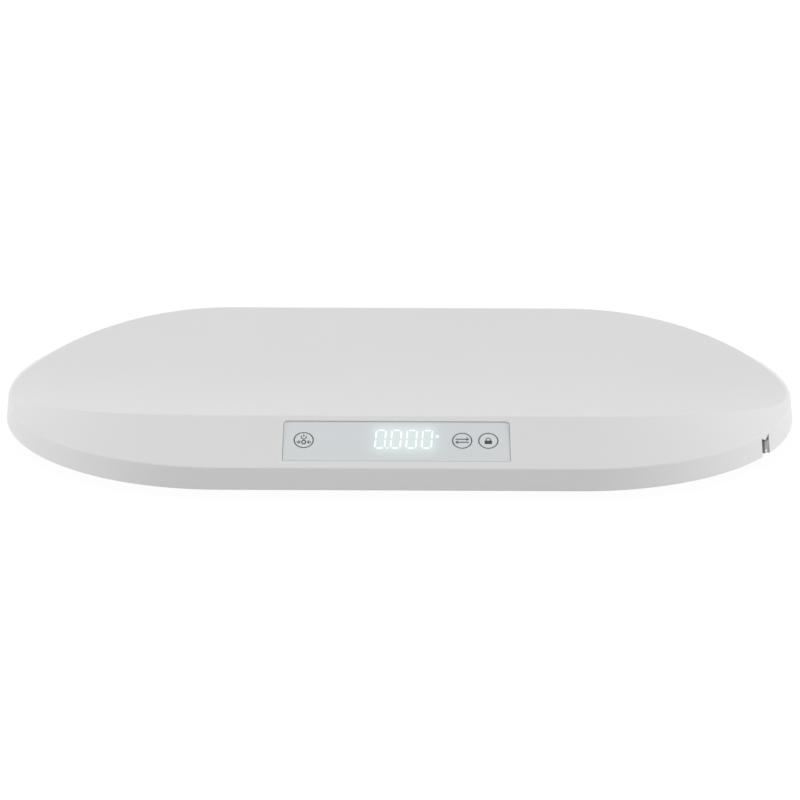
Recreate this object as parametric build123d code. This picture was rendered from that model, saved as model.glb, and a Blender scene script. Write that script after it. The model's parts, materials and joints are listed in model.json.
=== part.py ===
from build123d import *
from math import acos, asin, atan2, cos, degrees, hypot, radians, sin, tan
import os

# Digital baby weighing scale. Millimetres, +Z up, +X along the tray, -Y is the side with the
# control panel. The origin is on the ground under the middle of the scale.

# --- outer form -------------------------------------------------------------------------------
overall_length = 552.0
overall_depth = 308.0
underside_gap = 7.0          # ground to the lower edge of the side wall
wall_height = 15.4           # side wall, up to the rim where the sloping facet starts
wall_lean = 1.6              # the side wall leans in by this much over its height
facet_run = 37.4             # the facet goes in this far ...
facet_rise = 23.9            # ... while it climbs this far, up to the crest
tray_over_rim = 1.6          # tray surface on the long centre line, over the rim
tray_floor_radius = 200.0    # the tray is rounder along its middle ...
tray_side_radius = 1030.0    # ... and nearly flat from there up to the crest
crest_round = 2.2
rim_round = 1.4
foot_edge_round = 0.5
shell_wall = 2.6

# --- housing ribs and screw posts -----------------------------------------------------------
rib_thickness = 1.6
rib_depth = 3.4
rib_row_pitch = 45.0
rib_rows = [-2, -1, 0, 1, 2]             # in steps of the pitch from the middle
rib_column_pitch = 75.0
rib_columns = [-3, -2, -1, 0, 1, 2]
rib_end_margin = 6.0                     # the ribs stop this far short of the crest
lip_clearance = 0.5                      # between the cover's lip and what hangs in the shell
post_diameter = 8.0
gusset_length = 20.0
gusset_thickness = 1.4
gusset_drop = 9.0
screw_side_x = 105.0
screw_side_inset = 23.0                  # from the straight sides to the screws beside them
screw_end_inset = 30.0                   # from the round ends to their screws
screw_end_shift = 12.0                   # the right-hand one stands aside for the tape
screw_inner = (-20.0, -60.0)
screw_diameter = 2.9
screw_length = 11.0
screw_tip_clearance = 1.0
screw_head_diameter = 6.0
screw_head_height = 1.1
thread_clearance = 0.05
drive_slot_width = 0.9
drive_slot_length = 3.6
drive_slot_depth = 0.6
head_edge = 0.3
cut_reach = 6.0                          # how far cutting bodies run past the faces they open

# --- bottom cover -------------------------------------------------------------------------------
cover_thickness = 2.4
cover_recess = 0.6           # the cover lies this much above the wall's lower edge
cover_clearance = 0.3
lip_thickness = 1.6
lip_height = 5.0
cover_rib_height = 3.0
cover_rib_pitch = 60.0
cover_rib_row = -28.0
cover_rib_end_gap = 1.0
tape_lane = 14.0                         # width kept free of ribs along the tape
well_lane = 6.0                          # and round the battery compartment
board_bay_depth = 60.0                   # and under the circuit board
board_bay_margin = 10.0
post_clearance = 1.5
screw_seat_diameter = 6.8
screw_seat_depth = 1.2
screw_hole_clearance = 0.25

# --- control panel on the front facet --------------------------------------------------------
panel_centre_x = -1.8
panel_start = 6.0            # from the rim up the facet to the panel's lower edge
panel_height = 34.0
panel_top_width = 152.4
panel_bottom_width = 153.4
panel_corner = 2.6
panel_bottom_corner = 1.0
panel_recess_top = 0.9       # the panel lies deeper at its top edge, which leaves a shadow line
panel_recess_bottom = 0.1
panel_clearance = 0.3
lens_thickness = 1.5
lens_ledge = 2.5             # width of the step that the lens is bonded to
frame_border = 4.0
frame_depth = 5.5
frame_skin = 0.05            # the frame is kept this much inside the facet's outer face
lens_window_depth = 0.3      # the lens is thinned behind the digits and takes the diffuser there

# --- keys ---------------------------------------------------------------------------------------
key_diameter = 13.4
key_gap = 0.15
key_centre_y = 17.8          # from the panel's lower edge
key_positions = {"tare": -62.4, "unit": 44.2, "hold": 61.8}
key_flange_diameter = 15.4
key_flange_thickness = 0.8
key_stem_diameter = 4.0
key_edge = 0.2
key_travel = 0.5
key_neck = 0.1               # overlap of the cap with its flange
switch_size = 6.0
switch_corner = 0.6
switch_bore_spare = 0.2
switch_height = 3.5
switch_bore_clearance = 0.08
plunger_diameter = 3.4
plunger_reach = 0.8          # how far the plunger stands out of the switch
plunger_depth = 1.4          # how far it goes into the switch

# --- display and circuit board -------------------------------------------------------------------
digit_height = 16.6
digit_width = 7.9
digit_pitch = 10.45
digit_count = 4
digit_stroke = 1.5
digit_gap = 0.25
digit_slant = 4.0            # degrees
digit_centre_x = 4.9
digit_centre_y = 18.9
segment_depth = 1.0
point_diameter = 1.5
display_length = 47.0
display_height = 22.0
display_depth = 6.7
diffuser_margin = 0.75
diffuser_clearance = 0.2
board_length = 158.0
board_height = 29.0
board_thickness = 1.6
board_corner = 2.0
board_centre_y = 16.75
board_post_diameter = 5.6
board_screw_inset_x = 2.9
board_screw_inset_y = 3.2
board_screw_diameter = 2.0
board_screw_head_diameter = 4.0
board_screw_head_height = 1.3
board_screw_length = 6.0
board_screw_tip_clearance = 0.5
chip_x = -20.0
chip_size = 10.0
chip_height = 1.4
amplifier_x = -38.0
amplifier_length = 9.0
amplifier_width = 5.0
crystal_x = -7.0
crystal_diameter = 3.0
crystal_length = 8.0
socket_start_x = 12.0
socket_rise = 4.0            # the sockets stand this much above the board's middle
socket_length = 8.0
socket_width = 4.6
socket_height = 3.4
socket_count = 5
socket_pitch = 13.0
socket_wall = 0.8

# --- feet and load cells ---------------------------------------------------------------------
foot_end_inset = 99.0        # from the round ends to the feet's middles
foot_side_inset = 66.0       # and from the straight sides
pad_diameter = 34.0
pad_thickness = 3.0
pad_edge = 0.8
pad_groove_radii = [6.1, 10.9]
pad_groove_width = 1.2
pad_groove_depth = 0.5
pad_clearance = 0.1
carrier_diameter = 38.0
carrier_wall = 2.0
carrier_edge = 0.6
carrier_pad_sink = 1.0       # how deep the pad sits in the carrier
carrier_top = 9.0            # height of the carrier's upper face over the ground
carrier_lift_gap = 0.4       # between the carrier and the cover's corners over it
carrier_boss_diameter = 9.0
foot_hole_clearance = 1.0
collar_thickness = 1.8
cell_size = 34.0
cell_corner = 3.0
cell_thickness = 1.6
cell_slot = 2.0
cell_frame = 5.0
cell_seat_height = 11.0      # height of the load cell's lower face over the ground
cell_tongue_width = 12.0
cell_pad_margin = 1.0
gauge_length = 7.0
gauge_width = 4.0
gauge_thickness = 0.4
gauge_clearance = 0.4
cell_screw_diameter = 2.5
cell_screw_head_diameter = 4.6
cell_screw_head_height = 1.5
cell_screw_length = 4.0
rivet_diameter = 4.0
rivet_head_diameter = 6.6
rivet_head_height = 1.2
rivet_length = 3.2
pilot_spare = 0.3            # blind holes run this much past the tip in them

# --- battery compartment -----------------------------------------------------------------------
battery_centre = (-45.0, 66.0)
cell_diameter = 10.5
battery_length = 44.5
battery_edge = 0.5
battery_nub_diameter = 3.8
battery_nub_height = 1.0
battery_count = 3
battery_pitch = 11.2
battery_play = 0.35
well_length = 54.0
well_wall = 1.6
well_flange = 4.0
well_flange_thickness = 1.8
cradle_height = 1.2
cradle_length = 38.0
cradle_width = 1.0
door_margin = 1.8            # the door covers this much more than the well on every side
door_thickness = 2.0
door_corner = 1.2
door_clearance = 0.3
hinge_barrel_radius = 1.4    # the door's rear edge is rolled into a barrel ...
hinge_pin_radius = 0.7       # ... with a stub pin at each end
hinge_pin_reach = 1.6
hinge_clearance = 0.1
latch_width = 14.0
latch_side_clearance = 0.5
latch_height = 5.0
latch_thickness = 1.0
latch_offset = 0.1           # from the batteries' space to the latch
latch_clearance = 0.9
latch_tip_clearance = 0.6
barb_width = 8.4
barb_low = 2.6
barb_height = 1.0
barb_reach = 0.2
grip_width = 16.0
grip_depth = 0.7
grip_line = 1.0
grip_lines = 4
grip_pitch = 2.4
grip_inset = 5.0
contact_size = 7.0
contact_thickness = 0.5
spring_top_diameter = 4.0
spring_base_diameter = 7.0
spring_turns = 4
spring_wire = 0.7
spring_seat = 0.2            # the first turn is soldered this deep to its plate
wire_sides = 8               # the thin wire is drawn eight-sided

# --- measuring tape -----------------------------------------------------------------------------
outlet_angle = -32.5         # where the tape leaves the right-hand end, seen from its centre
outlet_width = 10.0
outlet_height = 14.2
outlet_near_height = 13.0    # the edge nearer the control panel is lower
outlet_tooth_height = 10.8   # between them the wall comes down to a point over the tab
outlet_cut_inward = 9.0
outlet_cut_outward = 8.0
outlet_cut_down = 4.0
tape_width = 5.0
tape_thickness = 0.3
tape_pitch = 0.4             # from one straight stage of the tape to the next
tape_stages = 4
tape_travel = 1000.0
tape_overlap = 8.0
tape_mid_height = 7.6        # over the wall's lower edge
tab_width = 6.4
tab_height = 8.7
tab_depth = 4.2
tab_edge = 0.7
tab_recess = 0.5
tab_side = 1.2               # the tab's middle lies this far behind the tape
tab_low = 1.6
tab_skin = 1.2               # left outside the tape's end
tab_backing = 0.5            # from the tab's rear face to the stages behind it
tab_waist_width = 1.4
tab_waist_depth = 0.7
tab_waist_margin = 1.6
tab_rivet_diameter = 2.2
tab_rivet_height = 3.4
tab_rivet_side = -0.3
tab_rivet_proud = 0.35
reel_distance = 66.0         # from the outlet to the reel, along the tape
coil_outer_radius = 14.0
coil_inner_radius = 10.5
coil_clearance = 0.3
coil_seat_clearance = 0.02
drum_inner_radius = 9.0
reel_flange_radius = 18.5
reel_flange_thickness = 0.7
reel_bore_radius = 3.05
reel_post_radius = 3.0
reel_hub_radius = 4.4
case_inner_radius = 21.0
case_wall = 1.2
case_clearance = 0.3
case_slot_width = 3.4
case_slot_reach = 6.0
case_well_clearance = 0.4
case_rib_clearance = 4.0
spring_strip = 0.35
spring_strip_pitch = 0.9
spring_half_turns = 8
spring_floor_gap = 0.4
spring_strip_gap = 0.1
guide_length = 9.0
guide_width = 12.0
guide_slot = 2.4
guide_gap = 4.4              # from the side wall's inner face to the guide
guide_roof = 1.6
guide_slot_clearance = 0.3

# --- derived places ------------------------------------------------------------------------------
end_radius = overall_depth / 2
straight_half = (overall_length - overall_depth) / 2
rim_radius = end_radius - wall_lean
crest_half = rim_radius - facet_run
crest_height = wall_height + facet_rise
tray_end_height = wall_height + tray_over_rim
wall_angle = atan2(wall_lean, wall_height)
facet_angle = atan2(facet_rise, facet_run)
form_top = underside_gap + crest_height + cut_reach
cover_bottom = underside_gap + cover_recess
cover_top = cover_bottom + cover_thickness
stack_display = lens_thickness + display_depth      # depth of the board's front face

screw_row = end_radius - screw_side_inset
screw_end = overall_length / 2 - screw_end_inset
screw_positions = [(side * screw_side_x, level * screw_row) for side in (-1, 1) for level in (-1, 1)]
screw_positions += [(-screw_end, 0.0), (screw_end, screw_end_shift), (0.0, screw_row), screw_inner]
foot_x = overall_length / 2 - foot_end_inset
foot_y = end_radius - foot_side_inset
cell_corner_offset = (cell_size - cell_frame) / 2

panel_tilt = atan2(panel_recess_top - panel_recess_bottom, panel_height)
panel_angle = facet_angle - panel_tilt
panel_origin = Vector(
    panel_centre_x,
    -rim_radius + panel_start * cos(facet_angle) + panel_recess_bottom * sin(facet_angle),
    underside_gap + wall_height + panel_start * sin(facet_angle) - panel_recess_bottom * cos(facet_angle),
)
panel_plane = Plane(
    origin=panel_origin,
    x_dir=(1, 0, 0),
    z_dir=(0, -sin(panel_angle), cos(panel_angle)),
)

outlet_out = Vector(cos(radians(outlet_angle)), sin(radians(outlet_angle)), 0)
outlet_side = Vector(-outlet_out.Y, outlet_out.X, 0)
outlet_point = Vector(straight_half, 0, underside_gap) + outlet_out * end_radius
tape_stack = tape_stages * tape_pitch
tape_line_offset = -tape_stack / 2
reel_centre = (
    outlet_point
    - outlet_out * reel_distance
    + outlet_side * (coil_outer_radius + coil_clearance + tape_stack / 2)
)
stage_travel = tape_travel / tape_stages


def stadium(radius):
    """Plan outline of the scale at one level: two half circles joined by straight sides."""
    return SlotCenterToCenter(2 * straight_half, 2 * radius)


def leaning_slab(radius, z_low, z_high, lean):
    base = Plane.XY.offset(z_low) * stadium(radius)
    return extrude(base, amount=z_high - z_low, taper=degrees(lean))


def floor_turn():
    """Slope of the tray where its floor arc meets a side arc that is tangent to it there.

    It is the slope at which the side arc also passes through the crest.
    """
    spread = tray_side_radius - tray_floor_radius
    drop = tray_floor_radius - (crest_height - tray_end_height)
    reach = (tray_side_radius**2 - spread**2 - crest_half**2 - drop**2) / (2 * spread)
    return atan2(crest_half, drop) - acos(reach / hypot(crest_half, drop))


def trough(inset):
    """The space over the tray, with its surface moved down into the scale by inset."""
    turn = floor_turn()
    spread = tray_side_radius - tray_floor_radius
    floor_axis = underside_gap + tray_end_height + tray_floor_radius
    side_axis = (-spread * sin(turn), floor_axis + spread * cos(turn))
    edge_turn = asin((crest_half + cut_reach - side_axis[0]) / tray_side_radius)
    floor_arc = CenterArc((0, floor_axis), tray_floor_radius + inset, -90 - degrees(turn), 2 * degrees(turn))
    side_arc = CenterArc(side_axis, tray_side_radius + inset, -90 + degrees(turn), degrees(edge_turn - turn))
    edge = side_arc @ 1
    top = form_top + cut_reach
    lid = Polyline((edge.X, edge.Y), (edge.X, top), (-edge.X, top), (-edge.X, edge.Y))
    outline = make_face(floor_arc + side_arc + mirror(side_arc, Plane.YZ) + lid)
    return extrude(Plane.YZ * outline, amount=overall_length / 2 + cut_reach, both=True)


def body_form(inset, z_low=underside_gap):
    """The scale's outer form, with every surface moved inwards by inset."""
    below = underside_gap - z_low
    side_radius = end_radius - inset / cos(wall_angle) + below * tan(wall_angle)
    side = leaning_slab(side_radius, z_low, form_top, wall_angle)
    slope_radius = rim_radius + (wall_height + below) / tan(facet_angle) - inset / sin(facet_angle)
    slope = leaning_slab(slope_radius, z_low, form_top, radians(90) - facet_angle)
    return side & slope - trough(inset)


def upright(diameter, x, y, z_low, z_high):
    height = z_high - z_low
    return Pos(x, y, z_low) * Cylinder(
        diameter / 2, height, align=(Align.CENTER, Align.CENTER, Align.MIN)
    )


def block(x_size, y_size, z_low, z_high, x=0.0, y=0.0):
    return Pos(x, y, z_low) * Box(
        x_size, y_size, z_high - z_low, align=(Align.CENTER, Align.CENTER, Align.MIN)
    )


def on_panel(shape_2d, depth_from, depth_to):
    """Extrude a sketch drawn on the panel from one depth behind its face to another."""
    start = panel_plane.offset(-depth_to)
    return extrude(start * shape_2d, amount=depth_to - depth_from)


def panel_outline(grow=0.0):
    low = panel_bottom_width / 2 + grow
    high = panel_top_width / 2 + grow
    corners = [(-low, -grow), (low, -grow), (high, panel_height + grow), (-high, panel_height + grow)]
    outline = Polygon(*corners, align=None)
    by_height = outline.vertices().sort_by(Axis.Y)
    outline = fillet(by_height[2:], max(panel_corner + grow, panel_bottom_corner))
    return fillet(outline.vertices().sort_by(Axis.Y)[:2], panel_bottom_corner)


def key_places():
    return [Pos(x, key_centre_y) for x in key_positions.values()]


def outlet_frame(radial, side, height):
    """A point near the tape outlet: outwards from the wall, sideways along it, and up."""
    return outlet_point + outlet_out * radial + outlet_side * side + Vector(0, 0, height)


def outlet_box(radial_from, radial_to, side_from, side_to, z_from, z_to):
    centre = outlet_frame(
        (radial_from + radial_to) / 2, (side_from + side_to) / 2, (z_from + z_to) / 2
    )
    size = Box(radial_to - radial_from, side_to - side_from, z_to - z_from)
    return Pos(*centre) * Rot(0, 0, outlet_angle) * size


def outlet_opening():
    """Cut for the tab: open below, with a pointed tooth of the wall left over it."""
    half = outlet_width / 2
    low = -outlet_cut_down
    outline = Polygon(
        (-half, low), (half, low), (half, outlet_height), (0, outlet_tooth_height), (-half, outlet_near_height),
        align=None,
    )
    plane = Plane(origin=outlet_frame(-outlet_cut_inward, 0, 0), x_dir=outlet_side, z_dir=outlet_out)
    return extrude(plane * outline, amount=outlet_cut_inward + outlet_cut_outward)


# --- housing -----------------------------------------------------------------------------------
def top_shell():
    outer = body_form(0)
    tray_edges = outer.faces().filter_by(GeomType.CYLINDER).edges()
    seam_reach = tray_floor_radius * sin(floor_turn()) + 0.01
    seams = tray_edges.filter_by(Axis.X).filter_by_position(Axis.Y, -seam_reach, seam_reach)
    outer = fillet(tray_edges - seams, crest_round)
    rim_level = underside_gap + wall_height
    rim_edges = outer.edges().filter_by_position(Axis.Z, rim_level - 0.01, rim_level + 0.01)
    outer = fillet(rim_edges, rim_round)
    low_edges = outer.edges().filter_by_position(Axis.Z, underside_gap - 0.01, underside_gap + 0.01)
    outer = fillet(low_edges, foot_edge_round)
    shell = outer - body_form(shell_wall, underside_gap - cut_reach)
    shell += (tray_ribs() + screw_posts()) & body_form(shell_wall / 2)
    shell += (panel_frame() + board_posts()) & body_form(frame_skin)
    shell -= on_panel(panel_outline(), -cut_reach, lens_thickness)
    shell -= on_panel(panel_outline(-lens_ledge), -cut_reach, frame_depth + cut_reach)
    for x, y in screw_positions:
        pilot = screw_diameter + 2 * thread_clearance
        shell -= upright(pilot, x, y, cover_top - 1, cover_top + screw_length)
    for place in board_screw_places():
        pilot = place * Circle(board_screw_diameter / 2 + thread_clearance)
        shell -= on_panel(pilot, stack_display - board_screw_length + board_thickness, stack_display + 1)
    return shell - outlet_opening()


def hanging_low():
    """Lower end of the ribs and webs, just clear of the cover's lip."""
    return cover_top + lip_height + lip_clearance


def tray_ribs():
    """A grid of ribs that hangs from the underside of the tray and follows its curve."""
    low = hanging_low()
    planks = [block(overall_length, rib_thickness, low, form_top, 0, i * rib_row_pitch) for i in rib_rows]
    planks += [block(rib_thickness, overall_depth, low, form_top, i * rib_column_pitch) for i in rib_columns]
    grid = Part() + planks
    grid -= at_reel(upright(2 * (case_inner_radius + case_rib_clearance), 0, 0, 0, form_top))
    within = block(overall_length, 2 * (crest_half - rib_end_margin), 0, form_top)
    return (grid & within) - body_form(shell_wall + rib_depth, underside_gap - cut_reach)


def screw_posts():
    """Posts for the housing screws, each with a cross of webs where it meets the tray."""
    posts = []
    for x, y in screw_positions:
        posts.append(upright(post_diameter, x, y, cover_top, form_top))
        webs = block(gusset_length, gusset_thickness, hanging_low(), form_top, x, y)
        webs += block(gusset_thickness, gusset_length, hanging_low(), form_top, x, y)
        posts.append(webs - body_form(shell_wall + gusset_drop, underside_gap - cut_reach))
    return Part() + posts


def panel_frame():
    return on_panel(panel_outline(frame_border), -cut_reach, frame_depth)


def board_screw_places():
    reach_x = board_length / 2 - board_screw_inset_x
    reach_y = board_height / 2 - board_screw_inset_y
    return [
        Pos(side * reach_x, board_centre_y + level * reach_y)
        for side in (-1, 1)
        for level in (-1, 1)
    ]


def board_posts():
    posts = [place * Circle(board_post_diameter / 2) for place in board_screw_places()]
    return Part() + [on_panel(post, -cut_reach, stack_display) for post in posts]


def bottom_cover():
    inner_radius = end_radius - shell_wall / cos(wall_angle) - cover_recess * tan(wall_angle)
    plate_radius = inner_radius - cover_clearance - (cover_thickness + lip_height) * tan(wall_angle)
    plate = leaning_slab(plate_radius, cover_bottom, cover_top, 0)
    lip = leaning_slab(plate_radius, cover_top, cover_top + lip_height, 0)
    lip -= leaning_slab(plate_radius - lip_thickness, cover_top, cover_top + lip_height, 0)
    cover = plate + lip + cover_ribs(plate_radius)
    cover += [collar(x, y) for x, y in foot_places()]
    cover += battery_well()
    cover -= [foot_hole(x, y) for x, y in foot_places()]
    cover -= battery_hollow()
    for x, y in screw_positions:
        cover -= upright(post_diameter + 2 * post_clearance, x, y, cover_top, form_top)
        cover -= upright(screw_diameter + 2 * screw_hole_clearance, x, y, 0, form_top)
        cover -= upright(screw_seat_diameter, x, y, 0, cover_bottom + screw_seat_depth)
    for x, y in foot_places():
        for place in cell_screw_places(x, y):
            pilot = cell_screw_diameter + 2 * thread_clearance
            pilot_low = cell_seat_height + cell_thickness - cell_screw_length - pilot_spare
            cover -= upright(pilot, *place, pilot_low, form_top)
    cover -= case_footprint(cover_top)
    return cover - outlet_box(
        -outlet_cut_inward, outlet_cut_outward, -outlet_width / 2, outlet_width / 2,
        -outlet_cut_down, outlet_height,
    )


def cover_ribs(plate_radius):
    """Low ribs on the inside of the cover, kept clear of what stands on it."""
    high = cover_top + cover_rib_height
    columns = int(straight_half * 2 / cover_rib_pitch) + 1
    start = -cover_rib_pitch * (columns - 1) / 2
    planks = [
        block(rib_thickness, overall_depth, cover_top, high, start + i * cover_rib_pitch)
        for i in range(columns)
    ]
    planks.append(block(overall_length, rib_thickness, cover_top, high, 0, cover_rib_row))
    grid = Part() + planks
    grid -= outlet_box(-tape_tail() - well_lane, 0, -tape_lane / 2, tape_lane / 2, 0, form_top)
    grid -= block(
        well_length + 2 * well_lane, well_width() + 2 * well_lane, 0, form_top, *battery_centre
    )
    grid -= block(
        board_length + 2 * board_bay_margin, board_bay_depth, 0, form_top,
        panel_centre_x, -end_radius + board_bay_depth / 2,
    )
    return grid & leaning_slab(plate_radius - cover_rib_end_gap, cover_top, high, 0)


def tape_tail():
    return stage_travel + tape_overlap


# --- feet and load cells ---------------------------------------------------------------------
def foot_places():
    return [(x * foot_x, y * foot_y) for y in (-1, 1) for x in (-1, 1)]


def collar(x, y):
    """Raised ring round a foot opening that carries the frame of the load cell."""
    hole = carrier_diameter + 2 * foot_hole_clearance
    ring = upright(hole + 2 * collar_thickness, x, y, cover_top, cell_seat_height)
    return ring + cell_pads(x, y, cover_top, cell_seat_height)


def cell_pads(x, y, z_low, z_high):
    """Round pads under the four corners of a load cell."""
    diameter = cell_frame + 2 * cell_pad_margin
    pads = [
        upright(diameter, x + dx * cell_corner_offset, y + dy * cell_corner_offset, z_low, z_high)
        for dx in (-1, 1)
        for dy in (-1, 1)
    ]
    return Part() + pads


def foot_hole(x, y):
    hole = carrier_diameter + 2 * foot_hole_clearance
    opening = upright(hole, x, y, cover_bottom - 1, cell_seat_height + 1)
    return opening - cell_pads(x, y, carrier_top + carrier_lift_gap, form_top)


def cell_screw_places(x, y):
    corner = cell_corner_offset
    return [(x - corner, y + corner), (x + corner, y - corner)]


def foot_pad(x, y):
    pad = upright(pad_diameter, x, y, 0, pad_thickness)
    pad = chamfer(pad.edges().sort_by(Axis.Z)[0], pad_edge)
    for radius in pad_groove_radii:
        groove = upright(2 * (radius + pad_groove_width), x, y, 0, pad_groove_depth)
        pad -= groove - upright(2 * radius, x, y, 0, pad_groove_depth)
    return pad


def foot_carrier(x, y):
    low = pad_thickness - carrier_pad_sink
    carrier = upright(carrier_diameter, x, y, low, carrier_top)
    carrier = fillet(carrier.edges().sort_by(Axis.Z)[0], carrier_edge)
    carrier -= upright(pad_diameter + 2 * pad_clearance, x, y, low - 1, pad_thickness)
    hollow = upright(carrier_diameter - 2 * carrier_wall, x, y, pad_thickness + carrier_wall, carrier_top)
    hollow -= upright(carrier_boss_diameter, x, y, 0, form_top)
    hollow -= block(carrier_diameter, carrier_wall, 0, form_top, x, y)
    hollow -= block(carrier_wall, carrier_diameter, 0, form_top, x, y)
    carrier -= hollow
    carrier += upright(carrier_boss_diameter, x, y, pad_thickness + carrier_wall, cell_seat_height)
    bore = rivet_diameter + 2 * thread_clearance
    bore_low = cell_seat_height + cell_thickness - rivet_length - pilot_spare
    return carrier - upright(bore, x, y, bore_low, form_top)


def load_cell(x, y):
    """Sprung steel plate: an outer frame, and a tongue cut free on three sides for the foot."""
    top = cell_seat_height + cell_thickness
    plate = block(cell_size, cell_size, cell_seat_height, top, x, y)
    plate = fillet(plate.edges().filter_by(Axis.Z), cell_corner)
    inner = cell_size - 2 * cell_frame
    window = block(inner, inner, 0, form_top, x, y)
    tongue = block(cell_tongue_width, inner, 0, form_top, x, y)
    bridge = block(inner, cell_frame, 0, form_top, x, y + (inner - cell_frame) / 2)
    plate -= window - tongue - bridge
    slot = block(cell_tongue_width + 1, cell_slot, 0, form_top, x, y - inner / 2 + cell_slot / 2)
    plate -= slot
    plate -= upright(rivet_diameter + 2 * thread_clearance, x, y, 0, form_top)
    for place in cell_screw_places(x, y):
        plate -= upright(cell_screw_diameter + 2 * screw_hole_clearance, *place, 0, form_top)
    return plate


def strain_gauges():
    top = cell_seat_height + cell_thickness
    shift = rivet_head_diameter / 2 + gauge_clearance + gauge_length / 2
    return [
        block(gauge_width, gauge_length, top, top + gauge_thickness, x, y + shift)
        for x, y in foot_places()
    ]


def headed_pin(x, y, z_seat, diameter, length, head_diameter, head_height):
    """Screw or rivet pointing down, with its head on a face at z_seat."""
    shank = upright(diameter, x, y, z_seat - length, z_seat)
    head = upright(head_diameter, x, y, z_seat, z_seat + head_height)
    return shank + chamfer(head.edges().sort_by(Axis.Z)[-1], head_edge)


def cell_screws():
    screws = []
    seat = cell_seat_height + cell_thickness
    for x, y in foot_places():
        for place in cell_screw_places(x, y):
            screws.append(headed_pin(
                *place, seat, cell_screw_diameter, cell_screw_length,
                cell_screw_head_diameter, cell_screw_head_height,
            ))
    return screws


def foot_rivets():
    seat = cell_seat_height + cell_thickness
    return [
        headed_pin(x, y, seat, rivet_diameter, rivet_length, rivet_head_diameter, rivet_head_height)
        for x, y in foot_places()
    ]


def housing_screws():
    screws = []
    seat = cover_bottom + screw_seat_depth
    low = seat - screw_head_height
    for x, y in screw_positions:
        shank = upright(screw_diameter, x, y, seat, cover_top + screw_length - screw_tip_clearance)
        head = upright(screw_head_diameter, x, y, low, seat)
        head = chamfer(head.edges().sort_by(Axis.Z)[0], head_edge)
        head -= block(drive_slot_length, drive_slot_width, low - 1, low + drive_slot_depth, x, y)
        head -= block(drive_slot_width, drive_slot_length, low - 1, low + drive_slot_depth, x, y)
        screws.append(shank + head)
    return screws


# --- battery compartment -----------------------------------------------------------------------
def well_width():
    return battery_count * battery_pitch + 2 * battery_play


def door_top():
    return cover_bottom + door_thickness


def battery_axis_height():
    return door_top() + battery_play + cell_diameter / 2


def well_ceiling():
    return battery_axis_height() + cell_diameter / 2 + battery_play


def battery_well():
    """Box over the batteries, with a flange that the door closes against."""
    x, y = battery_centre
    flange_top = door_top() + well_flange_thickness
    flange = block(
        well_length + 2 * (door_margin + well_flange), well_width() + 2 * (door_margin + well_flange),
        cover_bottom, flange_top, x, y,
    )
    tower = block(
        well_length + 2 * well_wall, well_width() + 2 * well_wall,
        cover_bottom, well_ceiling() + well_wall, x, y,
    )
    return flange + tower


def door_outline(clearance):
    return (
        well_length + 2 * door_margin - 2 * clearance,
        well_width() + 2 * door_margin - 2 * clearance,
    )


def hinge_y():
    return battery_centre[1] + door_outline(door_clearance)[1] / 2 - hinge_barrel_radius


def hinge_height():
    return cover_bottom + hinge_barrel_radius


def hinge_rod(radius, length):
    x = battery_centre[0]
    return lying_cylinder(2 * radius, x - length / 2, x + length / 2, hinge_y(), hinge_height())


def latch_y():
    """The latch stands just outside the batteries' space, in a slot of the well's front wall."""
    return battery_centre[1] - well_width() / 2 - latch_thickness / 2 - latch_offset


def battery_hollow():
    """Room for the batteries, the door with its hinge barrel and pins, and the latch."""
    x, y = battery_centre
    hollow = block(well_length, well_width(), door_top(), well_ceiling(), x, y)
    hollow += block(*door_outline(0), cover_bottom - 1, door_top(), x, y)
    pocket_length = door_outline(0)[0]
    hollow += hinge_rod(hinge_barrel_radius + door_clearance, pocket_length)
    hollow += hinge_rod(
        hinge_pin_radius + hinge_clearance, door_outline(door_clearance)[0] + 2 * (hinge_pin_reach + pilot_spare)
    )
    hollow += block(
        latch_width + 2 * latch_side_clearance, latch_thickness + 2 * latch_clearance,
        door_top(), door_top() + latch_height + latch_tip_clearance, x, latch_y(),
    )
    for i in range(battery_count - 1):
        ridge_y = y + (i + 1 - battery_count / 2) * battery_pitch
        hollow -= block(
            cradle_length, cradle_width, well_ceiling() - cradle_height, well_ceiling() + 1, x, ridge_y
        )
    return hollow


def battery_door():
    """Door with its rear edge rolled round the hinge pins, and a sprung latch at the front."""
    x, y = battery_centre
    length, width = door_outline(door_clearance)
    front_y = y - width / 2
    plate = block(length, hinge_y() - front_y, cover_bottom, door_top(), x, (front_y + hinge_y()) / 2)
    front_corners = plate.edges().filter_by(Axis.Z).sort_by(Axis.Y)[:2]
    door = fillet(front_corners, door_corner) + hinge_rod(hinge_barrel_radius, length)
    door += hinge_rod(hinge_pin_radius, length + 2 * hinge_pin_reach)
    door += block(latch_width, latch_thickness, cover_bottom + grip_depth, door_top() + latch_height, x, latch_y())
    door += block(
        barb_width, latch_thickness, door_top() + barb_low, door_top() + barb_low + barb_height,
        x, latch_y() - barb_reach,
    )
    for i in range(grip_lines):
        grip_y = front_y + grip_inset + i * grip_pitch
        door -= block(grip_width, grip_line, cover_bottom - 1, cover_bottom + grip_depth, x, grip_y)
    return door


def battery_places():
    x, y = battery_centre
    return [(x, y + (i - (battery_count - 1) / 2) * battery_pitch) for i in range(battery_count)]


def lying_cylinder(diameter, x_low, x_high, y, z):
    length = x_high - x_low
    return Pos((x_low + x_high) / 2, y, z) * Rot(0, 90, 0) * Cylinder(diameter / 2, length)


def contact_face_x():
    return battery_centre[0] + well_length / 2 - contact_thickness


def battery_end_x():
    """Where the flat end of a battery meets its spring."""
    return contact_face_x() - battery_nub_height - battery_length


def batteries():
    cells = []
    z = battery_axis_height()
    low = battery_end_x()
    high = low + battery_length
    for _, y in battery_places():
        can = lying_cylinder(cell_diameter, low, high, y, z)
        can = fillet(can.edges(), battery_edge)
        cells.append(can + lying_cylinder(battery_nub_diameter, low, high + battery_nub_height, y, z))
    return cells


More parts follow.
